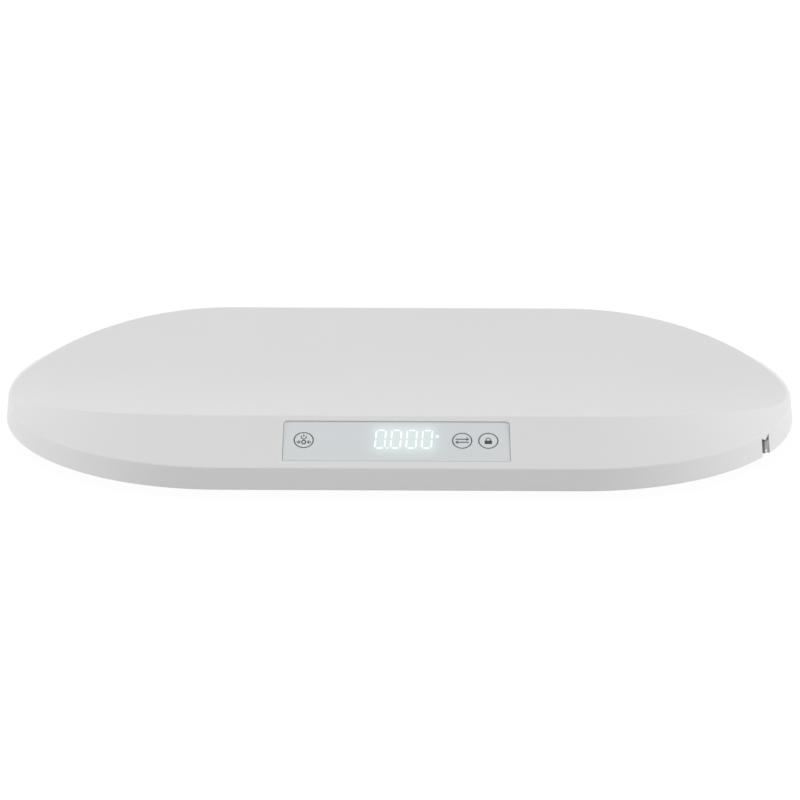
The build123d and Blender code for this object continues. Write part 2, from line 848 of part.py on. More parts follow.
def battery_contacts():
    z = battery_axis_height()
    x = contact_face_x() + contact_thickness / 2
    return [
        Pos(x, y, z) * Box(contact_thickness, contact_size, contact_size)
        for _, y in battery_places()
    ]


def battery_springs():
    """Conical pressure springs on their base plates, at the batteries' flat ends."""
    springs = []
    wall_x = battery_centre[0] - well_length / 2
    coil_start = wall_x + contact_thickness + spring_wire / 2 - spring_seat
    coil_length = battery_end_x() - spring_wire / 2 - coil_start
    narrowing = (spring_base_diameter - spring_top_diameter) / 2
    wire_path = Helix(
        pitch=coil_length / spring_turns, height=coil_length,
        radius=(spring_base_diameter - spring_wire) / 2,
        cone_angle=-degrees(atan2(narrowing, coil_length)),
    )
    wire_section = Plane(origin=wire_path @ 0, z_dir=wire_path % 0) * RegularPolygon(spring_wire / 2, wire_sides)
    wire = sweep(wire_section, path=wire_path, is_frenet=True)
    for _, y in battery_places():
        at_wall = Pos(wall_x, y, battery_axis_height())
        plate = Pos(contact_thickness / 2, 0, 0) * Box(contact_thickness, contact_size, contact_size)
        coil = Pos(coil_start - wall_x, 0, 0) * Rot(0, 90, 0) * wire
        springs.append(at_wall * (plate + coil))
    return springs


# --- control panel -------------------------------------------------------------------------------
def panel_lens():
    lens = on_panel(panel_outline(-panel_clearance), 0, lens_thickness)
    holes = [place * Circle(key_diameter / 2 + key_gap) for place in key_places()]
    for hole in holes:
        lens -= on_panel(hole, -1, lens_thickness + 1)
    return lens - on_panel(display_window(diffuser_margin), lens_thickness - lens_window_depth, lens_thickness + 1)


def display_window(margin):
    """Rectangle over the display, smaller than its face by the margin on every side."""
    return Pos(digit_centre_x, digit_centre_y) * Rectangle(
        display_length - 2 * margin, display_height - 2 * margin
    )


def display_diffuser():
    sheet = display_window(diffuser_margin + diffuser_clearance)
    return on_panel(sheet, lens_thickness - lens_window_depth, lens_thickness)


def slanted(points):
    """Points of the upright figures, leaned over to the right about the digits' middle line."""
    return [(x + (y - digit_centre_y) * tan(radians(digit_slant)), y) for x, y in points]


def segment(x, y, length, tall):
    """One bar of a digit, pointed at both ends, lying or standing with its middle at x, y."""
    half = length / 2 - digit_gap
    point = digit_stroke / 2
    bar = [
        (-half, 0), (-half + point, -point), (half - point, -point),
        (half, 0), (half - point, point), (-half + point, point),
    ]
    if tall:
        bar = [(-v, u) for u, v in bar]
    return Polygon(*slanted([(x + u, y + v) for u, v in bar]), align=None)


def digit_segments(centre_x):
    """The bars of one digit: bottom, middle and top, and the two halves of each side."""
    across = digit_width - digit_stroke
    up = (digit_height - digit_stroke) / 2
    bars = [segment(centre_x, digit_centre_y + level * up, across, tall=False) for level in (-1, 0, 1)]
    for side in (-1, 1):
        for level in (-1, 1):
            x = centre_x + side * across / 2
            bars.append(segment(x, digit_centre_y + level * up / 2, up, tall=True))
    return bars


def digit_centres():
    first = digit_centre_x - digit_pitch * (digit_count - 1) / 2
    return [first + i * digit_pitch for i in range(digit_count)]


def point_outline():
    middle = digit_centres()[0] + digit_pitch / 2
    low = digit_centre_y - digit_height / 2 + point_diameter / 2
    return Pos(*slanted([(middle, low)])[0]) * Circle(point_diameter / 2)


def light_bars():
    bars = [point_outline()]
    for centre_x in digit_centres():
        bars += digit_segments(centre_x)
    return bars


def display_segments():
    return [on_panel(bar, lens_thickness, lens_thickness + segment_depth) for bar in light_bars()]


def display_module():
    module = on_panel(display_window(0), lens_thickness, stack_display)
    for bar in light_bars():
        module -= on_panel(bar, lens_thickness - 1, lens_thickness + segment_depth)
    return module


def main_board():
    outline = Pos(0, board_centre_y) * RectangleRounded(board_length, board_height, board_corner)
    board = on_panel(outline, stack_display, stack_display + board_thickness)
    for place in board_screw_places():
        hole = place * Circle(board_screw_diameter / 2 + screw_hole_clearance)
        board -= on_panel(hole, stack_display - 1, stack_display + board_thickness + 1)
    return board


def board_screws():
    screws = []
    back = stack_display + board_thickness
    tip = back - board_screw_length + board_screw_tip_clearance
    for place in board_screw_places():
        shank = on_panel(place * Circle(board_screw_diameter / 2), tip, back)
        head = on_panel(place * Circle(board_screw_head_diameter / 2), back, back + board_screw_head_height)
        screws.append(shank + head)
    return screws


def tact_switches():
    switches = []
    front = stack_display - switch_height
    for place in key_places():
        base = on_panel(place * RectangleRounded(switch_size, switch_size, switch_corner), front, stack_display)
        bore = place * Circle(plunger_diameter / 2 + switch_bore_clearance)
        bore_end = front + plunger_depth + key_travel + switch_bore_spare
        switches.append(base - on_panel(bore, front - 1, bore_end))
    return switches


def switch_plunger(x):
    front = stack_display - switch_height
    outline = Pos(x, key_centre_y) * Circle(plunger_diameter / 2)
    return on_panel(outline, front - plunger_reach, front + plunger_depth)


def key_cap(x):
    """Round cap flush with the panel, with a flange behind the panel and a stem to the switch."""
    place = Pos(x, key_centre_y)
    cap = on_panel(place * Circle(key_diameter / 2), 0, lens_thickness + key_neck)
    face_edge = cap.edges().sort_by(lambda edge: panel_plane.to_local_coords(edge.center()).Z)[-1]
    cap = chamfer(face_edge, key_edge)
    flange = place * Circle(key_flange_diameter / 2)
    cap += on_panel(flange, lens_thickness, lens_thickness + key_flange_thickness)
    stem_end = stack_display - switch_height - plunger_reach
    return cap + on_panel(place * Circle(key_stem_diameter / 2), lens_thickness, stem_end)


def board_chips():
    back = stack_display + board_thickness
    chip = Pos(chip_x, board_centre_y) * Rectangle(chip_size, chip_size)
    amplifier = Pos(amplifier_x, board_centre_y) * Rectangle(amplifier_length, amplifier_width)
    crystal = Pos(crystal_x, board_centre_y) * SlotOverall(crystal_length, crystal_diameter)
    return [
        on_panel(chip, back, back + chip_height),
        on_panel(amplifier, back, back + chip_height),
        on_panel(crystal, back, back + crystal_diameter),
    ]


def wire_sockets():
    sockets = []
    back = stack_display + board_thickness
    for i in range(socket_count):
        place = Pos(socket_start_x + i * socket_pitch, board_centre_y + socket_rise)
        body = on_panel(place * Rectangle(socket_length, socket_width), back, back + socket_height)
        cavity = place * Rectangle(socket_length - 2 * socket_wall, socket_width - 2 * socket_wall)
        sockets.append(body - on_panel(cavity, back + socket_wall, back + socket_height + 1))
    return sockets


# --- measuring tape -----------------------------------------------------------------------------
def tape_level(offset):
    return underside_gap + tape_mid_height + offset


def tape_stage(index):
    """One straight stage of the tape; the first carries the tab and goes furthest out."""
    front = -tab_recess - tab_skin if index == 0 else -tab_recess - tab_depth - tab_backing
    return tape_strip(front, index)


def tape_strip(front, index):
    side = tape_line_offset + index * tape_pitch
    return outlet_box(
        -tape_tail(), front, side, side + tape_thickness,
        tape_mid_height - tape_width / 2, tape_mid_height + tape_width / 2,
    )


def tape_tab():
    """Pull tab at the tape's end, waisted for the fingertips and riveted to the tape."""
    high = tab_low + tab_height
    outer = -tab_recess
    near = tab_side - tab_width / 2
    tab = outlet_box(outer - tab_depth, outer, near, near + tab_width, tab_low, high)
    tab = fillet(tab.edges().filter_by(Axis.Z), tab_edge)
    waist = outer - tab_depth / 2
    tab -= outlet_box(
        waist - tab_waist_width / 2, waist + tab_waist_width / 2, near - 1, near + tab_waist_depth,
        tab_low + tab_waist_margin, high - tab_waist_margin,
    )
    return tab - tape_strip(outer - tab_skin, 0)


def tab_rivet():
    place = outlet_frame(-tab_recess, tab_rivet_side, tab_rivet_height)
    plane = Plane(origin=place, x_dir=outlet_side, z_dir=outlet_out)
    return extrude(plane * Circle(tab_rivet_diameter / 2), amount=tab_rivet_proud)


def at_reel(shape):
    return Pos(reel_centre.X, reel_centre.Y, 0) * shape


def reel_low():
    return tape_level(-tape_width / 2) - case_clearance - reel_flange_thickness


def reel_high():
    return tape_level(tape_width / 2) + case_clearance + reel_flange_thickness


def tape_reel():
    """Spool: two flanges on a drum that is hollow for the spring, and a web to the hub."""
    low, high = reel_low(), reel_high()
    spool = upright(2 * (coil_inner_radius - coil_seat_clearance), 0, 0, low, high)
    for z in (low, high - reel_flange_thickness):
        spool += upright(2 * reel_flange_radius, 0, 0, z, z + reel_flange_thickness)
    spool -= upright(2 * drum_inner_radius, 0, 0, low + reel_flange_thickness, high + 1)
    spool += upright(2 * reel_hub_radius, 0, 0, low, low + reel_flange_thickness)
    return at_reel(spool - upright(2 * reel_bore_radius, 0, 0, low - 1, high + 1))


def tape_coil():
    low, high = tape_level(-tape_width / 2), tape_level(tape_width / 2)
    ring = upright(2 * coil_outer_radius, 0, 0, low, high)
    return at_reel(ring - upright(2 * coil_inner_radius, 0, 0, low - 1, high + 1))


def return_spring():
    """Flat spiral spring in the drum, drawn as half turns that grow from the post outwards."""
    spiral = Sketch() + [spiral_band(i) for i in range(spring_half_turns)]
    low = reel_low() + reel_flange_thickness + spring_floor_gap
    return at_reel(extrude(Plane.XY.offset(low) * spiral, amount=tape_width - 1))


def spiral_band(index):
    """Half a ring of spring strip; odd and even halves have centres a step apart."""
    step = spring_strip_pitch / 2
    radius = reel_post_radius + spring_strip / 2 + spring_strip_gap + index * step
    centre = 0.0 if index % 2 == 0 else step
    ring = Pos(centre, 0) * (Circle(radius + spring_strip / 2) - Circle(radius - spring_strip / 2))
    reach = 2 * drum_inner_radius
    half = Pos(centre, (1 if index % 2 == 0 else -1) * reach / 2) * Rectangle(2 * reach, reach)
    return ring & half


def case_footprint(z_low):
    return at_reel(
        upright(2 * (case_inner_radius + case_wall + case_well_clearance), 0, 0, z_low, form_top)
    )


def case_slots(z_low, z_high):
    """The tape's straight way through the case wall, on both sides of the reel."""
    reach = case_inner_radius + case_slot_reach
    return outlet_box(
        -reel_distance - reach, -reel_distance + reach, -case_slot_width / 2, case_slot_width / 2,
        z_low - underside_gap, z_high - underside_gap,
    )


def tape_case():
    """Cup under the reel with the post it turns on."""
    low = cover_top
    floor = reel_low() - case_clearance
    high = reel_high() + case_clearance
    cup = upright(2 * (case_inner_radius + case_wall), 0, 0, low, high)
    cup -= upright(2 * case_inner_radius, 0, 0, floor, high + 1)
    cup += upright(2 * reel_post_radius, 0, 0, low, high)
    cup += upright(2 * reel_hub_radius, 0, 0, low, reel_low())
    return at_reel(cup) - case_slots(floor, high + 1)


def tape_case_lid():
    low = reel_high() + case_clearance
    lid = upright(2 * (case_inner_radius + case_wall), 0, 0, low, low + case_wall)
    return at_reel(lid)


def tape_guide():
    """Slotted block behind the wall that keeps the tape on its line."""
    front = -shell_wall - guide_gap
    slot_half = tape_width / 2 + guide_slot_clearance
    guide = outlet_box(
        front - guide_length, front, -guide_width / 2, guide_width / 2,
        cover_recess + cover_thickness, tape_mid_height + tape_width / 2 + guide_roof,
    )
    return guide - outlet_box(
        front - guide_length - 1, front + 1, -guide_slot / 2, guide_slot / 2,
        tape_mid_height - slot_half, tape_mid_height + slot_half,
    )


# --- output -----------------------------------------------------------------------------------
def corner_name(x, y):
    return f"{'front' if y < 0 else 'rear'}_{'left' if x < 0 else 'right'}"


def build_parts():
    parts = {
        "top_shell": top_shell(),
        "bottom_cover": bottom_cover(),
        "housing_screws": housing_screws(),
        "panel_lens": panel_lens(),
        "display_diffuser": display_diffuser(),
        "display_segments": display_segments(),
        "display_module": display_module(),
        "main_board": main_board(),
        "board_screws": board_screws(),
        "board_chips": board_chips(),
        "wire_sockets": wire_sockets(),
        "tact_switches": tact_switches(),
        "strain_gauges": strain_gauges(),
        "cell_screws": cell_screws(),
        "foot_rivets": foot_rivets(),
        "battery_door": battery_door(),
        "batteries": batteries(),
        "battery_contacts": battery_contacts(),
        "battery_springs": battery_springs(),
        "tape_case": tape_case(),
        "tape_case_lid": tape_case_lid(),
        "tape_guide": tape_guide(),
        "tape_reel": tape_reel(),
        "tape_coil": tape_coil(),
        "return_spring": return_spring(),
        "tape_tab": tape_tab(),
        "tab_rivet": tab_rivet(),
    }
    for name, x in key_positions.items():
        parts[f"{name}_key"] = key_cap(x)
        parts[f"{name}_plunger"] = switch_plunger(x)
    for x, y in foot_places():
        parts[f"foot_pad_{corner_name(x, y)}"] = foot_pad(x, y)
        parts[f"foot_carrier_{corner_name(x, y)}"] = foot_carrier(x, y)
        parts[f"load_cell_{corner_name(x, y)}"] = load_cell(x, y)
    for index in range(tape_stages):
        parts[f"tape_stage_{index + 1}"] = tape_stage(index)
    return parts


def main():
    os.makedirs("parts", exist_ok=True)
    for name, shape in build_parts().items():
        solids = Compound(children=list(shape)) if isinstance(shape, list) else shape
        export_step(solids, f"parts/{name}.step")


main()
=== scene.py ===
import json
import math

import bpy
from mathutils import Matrix, Vector


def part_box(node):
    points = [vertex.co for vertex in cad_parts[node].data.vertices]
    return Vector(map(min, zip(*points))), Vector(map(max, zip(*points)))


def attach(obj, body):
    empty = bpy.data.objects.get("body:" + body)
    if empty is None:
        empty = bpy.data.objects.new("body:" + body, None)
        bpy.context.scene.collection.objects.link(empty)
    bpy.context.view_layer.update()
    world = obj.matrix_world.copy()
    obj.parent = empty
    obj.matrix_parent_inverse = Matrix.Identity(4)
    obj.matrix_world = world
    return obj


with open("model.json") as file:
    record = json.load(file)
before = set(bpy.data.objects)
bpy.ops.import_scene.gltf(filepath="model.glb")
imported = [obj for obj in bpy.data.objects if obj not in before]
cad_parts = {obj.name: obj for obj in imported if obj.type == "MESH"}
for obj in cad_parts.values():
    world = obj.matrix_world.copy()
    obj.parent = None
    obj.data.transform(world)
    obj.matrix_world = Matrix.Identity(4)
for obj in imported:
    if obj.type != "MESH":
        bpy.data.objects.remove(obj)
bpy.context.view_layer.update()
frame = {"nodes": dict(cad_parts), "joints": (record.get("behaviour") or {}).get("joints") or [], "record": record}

nodes = frame["nodes"]
print("frame loaded with", len(nodes), "nodes")


def jointAxis(name):
    return Vector(next(joint["axis"] for joint in frame["joints"] if joint["name"] == name))


# camera: lengths in metres, angles in degrees, the lens and its sensor in millimetres
cameraPlan = {
    "lens": 191.92, "sensor": 36.0, "clip": (0.1, 40.0), "distance": 3.0,
    "elevation": 19.745, "yaw": -0.069, "roll": 0.225, "lookAt": (0.0003, 0.0, 0.0163),
}


def makeCamera(plan):
    rise, turn, tilt = (math.radians(plan[key]) for key in ("elevation", "yaw", "roll"))
    ahead = Vector((math.sin(turn) * math.cos(rise), math.cos(turn) * math.cos(rise), -math.sin(rise)))
    level = ahead.cross(Vector((0, 0, 1))).normalized()
    upright = level.cross(ahead)
    right = level * math.cos(tilt) + upright * math.sin(tilt)
    up = upright * math.cos(tilt) - level * math.sin(tilt)
    lens = bpy.data.cameras.new("studioCamera")
    lens.lens, lens.sensor_width = plan["lens"], plan["sensor"]
    lens.clip_start, lens.clip_end = plan["clip"]
    camera = bpy.data.objects.new("studioCamera", lens)
    place = Vector(plan["lookAt"]) - ahead * plan["distance"]
    camera.matrix_world = Matrix.Translation(place) @ Matrix((right, up, -ahead)).transposed().to_4x4()
    bpy.context.scene.collection.objects.link(camera)
    bpy.context.scene.camera = camera


makeCamera(cameraPlan)
bpy.context.scene.view_settings.view_transform = "Standard"
print("camera placed")


# node helpers: an input is either linked from a socket or set to a constant
def feed(tree, node, inputs):
    for name, value in inputs.items():
        if isinstance(value, bpy.types.NodeSocket):
            tree.links.new(value, node.inputs[name])
        else:
            node.inputs[name].default_value = value


def addNode(tree, kind, inputs=None, **settings):
    node = tree.nodes.new("ShaderNode" + kind)
    for name, value in settings.items():
        setattr(node, name, value)
    feed(tree, node, inputs or {})
    return node


def mathNode(tree, operation, a, b=0.0):
    return addNode(tree, "Math", {0: a, 1: b}, operation=operation).outputs[0]


def vectorNode(tree, operation, a, b):
    outputs = addNode(tree, "VectorMath", {0: a, 1: b}, operation=operation).outputs
    return outputs["Value" if operation == "DOT_PRODUCT" else "Vector"]


def surfacePlace(tree):
    return addNode(tree, "TexCoord").outputs["Object"]


def spread(tree, value, low, high):       # from 0 and 1 to low and high
    return addNode(tree, "MapRange", {"Value": value, "To Min": low, "To Max": high}).outputs["Result"]


def maskBetween(tree, value, low, high, **settings):       # from low and high to 0 and 1
    inputs = {"Value": value, "From Min": low, "From Max": high}
    return addNode(tree, "MapRange", inputs, **settings).outputs["Result"]


def mixColour(tree, amount, a, b):        # a Mix node's colours are its sockets 6, 7 and 2
    a, b = (shade if isinstance(shade, bpy.types.NodeSocket) else (*shade, 1) for shade in (a, b))
    return addNode(tree, "Mix", {0: amount, 6: a, 7: b}, data_type="RGBA").outputs[2]


def addBump(tree, height, strength, depth=0.0001):
    inputs = {"Strength": strength, "Distance": depth, "Height": height}
    return addNode(tree, "Bump", inputs).outputs["Normal"]


def grey(level):
    return (level, level, level, 1)


def newGroup(name, inputs, outputs):
    tree = bpy.data.node_groups.new(name, "ShaderNodeTree")
    for label, value in inputs.items():
        socket = tree.interface.new_socket(name=label, in_out="INPUT", socket_type="NodeSocketFloat")
        socket.default_value = value
    for label in outputs:
        tree.interface.new_socket(name=label, in_out="OUTPUT", socket_type="NodeSocketFloat")
    return tree, tree.nodes.new("NodeGroupInput").outputs, tree.nodes.new("NodeGroupOutput")


def placeGroup(tree, group, inputs=None):
    return addNode(tree, "Group", inputs, node_tree=group).outputs


def newMaterial(name):
    material = bpy.data.materials.new(name)
    material.use_nodes = True
    return material, material.node_tree, material.node_tree.nodes["Principled BSDF"]


# room: the white that is seen behind the scale is apart from the light that falls on it
roomPlan = {
    "fill": 0.572, "seen": 1.0,
    "floorSize": 14.0, "floorBounce": 0.5, "floorShade": 0.12, "floorWhite": 0.92,
}
# lamps, aimed at the origin: places and sizes in metres, power in watts
lampPlan = {
    "rightLamp": {"place": (4.0, -0.16, 1.4), "size": (2.4, 2.4), "power": 33.2},
    "leftLamp": {"place": (-2.0, 0.0, 0.7), "size": (1.2, 1.2), "power": 4.3},
    "rightLowLamp": {"place": (4.0, -1.2, 0.8), "size": (2.0, 1.4), "power": 46.0},
    "leftLowLamp": {"place": (-2.0, -0.6, 0.4), "size": (1.0, 0.7), "power": 10.2},
    "topLamp": {"place": (0.0, 0.0, 2.0), "size": (2.2, 1.4), "power": 3.8},
    "backLamp": {"place": (0.0, 2.0, 0.6), "size": (2.0, 0.8), "power": 7.0},
}
# it shines on the pieces whose names start with these words
underLampPlan = {
    "place": (0.0, 0.0, -1.3), "size": (0.5, 0.26), "power": 6.5,
    "shinesOn": ("bottom_cover", "housing_screws", "batteries", "battery_", "foot_"),
}


def seenDirectly(tree):                   # by the camera, or in metal and glass
    path = addNode(tree, "LightPath").outputs
    either = mathNode(tree, "MAXIMUM", path["Is Glossy Ray"], path["Is Transmission Ray"])
    return mathNode(tree, "MAXIMUM", path["Is Camera Ray"], either)


def makeWorld(plan):
    world = bpy.data.worlds.new("studioRoom")
    world.use_nodes = True
    tree = world.node_tree
    tree.nodes.clear()
    fill = addNode(tree, "Background", {"Color": grey(1.0), "Strength": plan["fill"]})
    seen = addNode(tree, "Background", {"Color": grey(1.0), "Strength": plan["seen"]})
    mix = addNode(tree, "MixShader", {0: seenDirectly(tree), 1: fill.outputs[0], 2: seen.outputs[0]})
    addNode(tree, "OutputWorld", {"Surface": mix.outputs[0]})
    bpy.context.scene.world = world


def makeFloor(plan):
    material, tree, shader = newMaterial("floorWhite")
    tree.nodes.remove(shader)
    bounce = addNode(tree, "BsdfDiffuse", {"Color": grey(plan["floorBounce"])})
    shade = addNode(tree, "BsdfDiffuse", {"Color": grey(plan["floorShade"])})
    glow = addNode(tree, "Emission", {"Strength": plan["floorWhite"]})
    seen = addNode(tree, "AddShader", {0: shade.outputs[0], 1: glow.outputs[0]})
    above = addNode(tree, "MixShader", {0: seenDirectly(tree), 1: bounce.outputs[0], 2: seen.outputs[0]})
    clear = addNode(tree, "BsdfTransparent")
    below = addNode(tree, "NewGeometry").outputs["Backfacing"]     # open from underneath
    both = addNode(tree, "MixShader", {0: below, 1: above.outputs[0], 2: clear.outputs[0]})
    feed(tree, tree.nodes["Material Output"], {"Surface": both.outputs[0]})
    half = plan["floorSize"] / 2
    corners = [(-half, -half, 0), (half, -half, 0), (half, half, 0), (-half, half, 0)]
    mesh = bpy.data.meshes.new("floor")
    mesh.from_pydata(corners, [], [(0, 1, 2, 3)])
    mesh.materials.append(material)
    floor = bpy.data.objects.new("floor", mesh)
    bpy.context.scene.collection.objects.link(floor)
    return floor


def makeLamp(name, plan):
    lamp = bpy.data.lights.new(name, "AREA")
    lamp.shape = "RECTANGLE"
    lamp.size, lamp.size_y = plan["size"]
    lamp.energy = plan["power"]
    holder = bpy.data.objects.new(name, lamp)
    place = Vector(plan["place"])
    holder.location = place
    holder.rotation_euler = (-place).to_track_quat("-Z", "Y").to_euler()
    holder.visible_camera = False
    holder.visible_glossy = False         # the gloss shows the room, not the lamps
    bpy.context.scene.collection.objects.link(holder)
    return holder


def lightList(name, pieces, state):
    group = bpy.data.collections.new(name)
    for piece in pieces:
        group.objects.link(piece)
    for entry in group.collection_objects:
        entry.light_linking.link_state = state
    return group


def makeUnderLamp(plan, floor):           # shines through the floor, on the underside alone
    lamp = makeLamp("underLamp", plan)
    under = [piece for name, piece in nodes.items() if name.startswith(plan["shinesOn"])]
    lamp.light_linking.receiver_collection = lightList("underside", under, "INCLUDE")
    lamp.light_linking.blocker_collection = lightList("lampThroughFloor", [floor], "EXCLUDE")


makeWorld(roomPlan)
floor = makeFloor(roomPlan)
for lampName, plan in lampPlan.items():
    makeLamp(lampName, plan)
makeUnderLamp(underLampPlan, floor)
print("room and lamps ready")


# the control panel's own directions, read from the key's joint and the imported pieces
def panelDirections():
    out = -jointAxis("tare_press")
    across = Vector((1, 0, 0))
    up = out.cross(across)
    corners = [vertex.co for vertex in nodes["panel_lens"].data.vertices]
    low = min(corner.dot(up) for corner in corners)
    middle = (min(corner.x for corner in corners) + max(corner.x for corner in corners)) / 2
    level = max(vertex.co.dot(out) for vertex in nodes["tare_key"].data.vertices)
    return {"across": across, "up": up, "out": out, "origin": across * middle + up * low + out * level}


panel = panelDirections()


def onPanel(x, y, lift=0.0):
    return panel["origin"] + panel["across"] * x + panel["up"] * y + panel["out"] * lift


def panelPlace(point):
    away = Vector(point) - panel["origin"]
    return away.dot(panel["across"]), away.dot(panel["up"])


# effects shared by the materials, with sizes in metres
skinPlan = {
    "grainSize": 0.0006, "grainDetail": 2.0, "grainRoughness": 0.55,
    "flowSize": 0.08, "flowDetail": 3.0, "flowBend": 0.4, "flowRange": (0.3, 0.7),
}
touchPlan = {"patchSize": 0.03, "detail": 5.0, "bend": 1.2, "range": (0.45, 0.72)}
rolledPlan = {"streakSize": 0.002, "stretch": 0.06, "detail": 6.0}


def makeMouldedSkin(plan):
    sizes = {"Grain Size": plan["grainSize"], "Flow Size": plan["flowSize"]}
    group, given, made = newGroup("mouldedSkin", sizes, ["Flow", "Grain", "Height"])
    place = surfacePlace(group)
    grain = addNode(group, "TexNoise", {
        "Vector": place, "Scale": mathNode(group, "DIVIDE", 1.0, given["Grain Size"]),
        "Detail": plan["grainDetail"], "Roughness": plan["grainRoughness"],
    }).outputs[0]
    flow = addNode(group, "TexNoise", {
        "Vector": place, "Scale": mathNode(group, "DIVIDE", 1.0, given["Flow Size"]),
        "Detail": plan["flowDetail"], "Distortion": plan["flowBend"],
    }).outputs[0]
    flowMask = maskBetween(group, flow, *plan["flowRange"])
    feed(group, made, {"Flow": flowMask, "Grain": grain, "Height": grain})
    return group


def makeTouchMarks(plan):
    group, given, made = newGroup("touchMarks", {"Patch Size": plan["patchSize"]}, ["Mask"])
    patch = addNode(group, "TexNoise", {
        "Vector": surfacePlace(group), "Scale": mathNode(group, "DIVIDE", 1.0, given["Patch Size"]),
        "Detail": plan["detail"], "Distortion": plan["bend"],
    }).outputs[0]
    feed(group, made, {"Mask": maskBetween(group, patch, *plan["range"], interpolation_type="SMOOTHSTEP")})
    return group


def makeRolledMetal(plan):
    sizes = {"Streak Size": plan["streakSize"], "Stretch": plan["stretch"]}
    group, given, made = newGroup("rolledMetal", sizes, ["Streak", "Height"])
    squeeze = addNode(group, "CombineXYZ", {"X": given["Stretch"], "Y": 1.0, "Z": 1.0}).outputs[0]
    streak = addNode(group, "TexNoise", {
        "Vector": vectorNode(group, "MULTIPLY", surfacePlace(group), squeeze),
        "Scale": mathNode(group, "DIVIDE", 1.0, given["Streak Size"]), "Detail": plan["detail"],
    }).outputs[0]
    feed(group, made, {"Streak": streak, "Height": streak})
    return group


mouldedSkin = makeMouldedSkin(skinPlan)
touchMarks = makeTouchMarks(touchPlan)
rolledMetal = makeRolledMetal(rolledPlan)

# moulded plastics: two close shades, the roughness between them, grain and flow in metres
plastics = {
    "shell": {"pale": (0.80, 0.80, 0.80), "deep": (0.785, 0.787, 0.79), "rough": (0.36, 0.44),
              "grain": 0.0005, "flow": 0.12, "bump": 0.03},
    "cover": {"pale": (0.78, 0.78, 0.775), "deep": (0.75, 0.75, 0.75), "rough": (0.5, 0.6),
              "grain": 0.0009, "flow": 0.09, "bump": 0.15},
    "display_body": {"pale": (0.72, 0.72, 0.72), "deep": (0.66, 0.66, 0.66), "rough": (0.45, 0.6),
                     "grain": 0.0006, "flow": 0.02, "bump": 0.08},
    "diffuser": {"pale": (0.86, 0.88, 0.88), "deep": (0.82, 0.84, 0.85), "rough": (0.6, 0.7),
                 "grain": 0.0004, "flow": 0.02, "bump": 0.03},
    "chip_black": {"pale": (0.035, 0.035, 0.036), "deep": (0.022, 0.022, 0.024), "rough": (0.45, 0.6),
                   "grain": 0.0003, "flow": 0.006, "bump": 0.12},
    "socket_nylon": {"pale": (0.80, 0.78, 0.70), "deep": (0.74, 0.72, 0.64), "rough": (0.4, 0.5),
                     "grain": 0.0004, "flow": 0.01, "bump": 0.05},
    "inner_plastic": {"pale": (0.62, 0.62, 0.62), "deep": (0.56, 0.56, 0.57), "rough": (0.35, 0.5),
                      "grain": 0.0006, "flow": 0.02, "bump": 0.08},
    "carrier_plastic": {"pale": (0.70, 0.70, 0.69), "deep": (0.63, 0.63, 0.63), "rough": (0.45, 0.6),
                        "grain": 0.0007, "flow": 0.02, "bump": 0.14},
    "tab_plastic": {"pale": (0.36, 0.36, 0.365), "deep": (0.31, 0.31, 0.315), "rough": (0.4, 0.5),
                    "grain": 0.0004, "flow": 0.01, "bump": 0.08},
    "foot_rubber": {"pale": (0.20, 0.20, 0.205), "deep": (0.14, 0.14, 0.145), "rough": (0.7, 0.85),
                    "grain": 0.0005, "flow": 0.012, "bump": 0.25},
}


def makePlastic(name, look, smooth=False):       # on a smooth one only touch changes the gloss
    material, tree, shader = newMaterial(name)
    skin = placeGroup(tree, mouldedSkin, {"Grain Size": look["grain"], "Flow Size": look["flow"]})
    worn = placeGroup(tree, touchMarks)["Mask"]
    if not smooth:
        worn = mathNode(tree, "MAXIMUM", skin["Grain"], worn)
    feed(tree, shader, {
        "Base Color": mixColour(tree, skin["Flow"], look["pale"], look["deep"]),
        "Roughness": spread(tree, worn, *look["rough"]),
        "Normal": addBump(tree, skin["Height"], look["bump"]),
    })
    return material


# metals: two shades, roughness, streak size in metres and how far it is drawn out
metals = {
    "screw_steel": {"pale": (0.66, 0.66, 0.67), "deep": (0.50, 0.51, 0.53), "rough": (0.25, 0.42),
                    "streak": 0.0006, "stretch": 1.0, "bump": 0.1},
    "cell_steel": {"pale": (0.60, 0.61, 0.62), "deep": (0.47, 0.48, 0.49), "rough": (0.28, 0.42),
                   "streak": 0.0008, "stretch": 0.05, "bump": 0.1},
    "spring_steel": {"pale": (0.33, 0.35, 0.39), "deep": (0.24, 0.25, 0.28), "rough": (0.22, 0.34),
                     "streak": 0.0005, "stretch": 0.08, "bump": 0.1},
    "contact_metal": {"pale": (0.72, 0.70, 0.65), "deep": (0.60, 0.58, 0.54), "rough": (0.18, 0.3),
                      "streak": 0.0005, "stretch": 0.2, "bump": 0.1},
    "rivet_bright": {"pale": (0.92, 0.92, 0.92), "deep": (0.82, 0.82, 0.83), "rough": (0.1, 0.18),
                     "streak": 0.0004, "stretch": 1.0, "bump": 0.1},
}


def makeMetal(name, look):
    material, tree, shader = newMaterial(name)
    rolled = placeGroup(tree, rolledMetal, {"Streak Size": look["streak"], "Stretch": look["stretch"]})
    feed(tree, shader, {
        "Base Color": mixColour(tree, rolled["Streak"], look["deep"], look["pale"]),
        "Metallic": 1.0,
        "Roughness": spread(tree, rolled["Streak"], *look["rough"]),
        "Normal": addBump(tree, rolled["Height"], look["bump"]),
    })
    return material


finishes = {name: makePlastic(name, look) for name, look in plastics.items()}
finishes.update({name: makeMetal(name, look) for name, look in metals.items()})

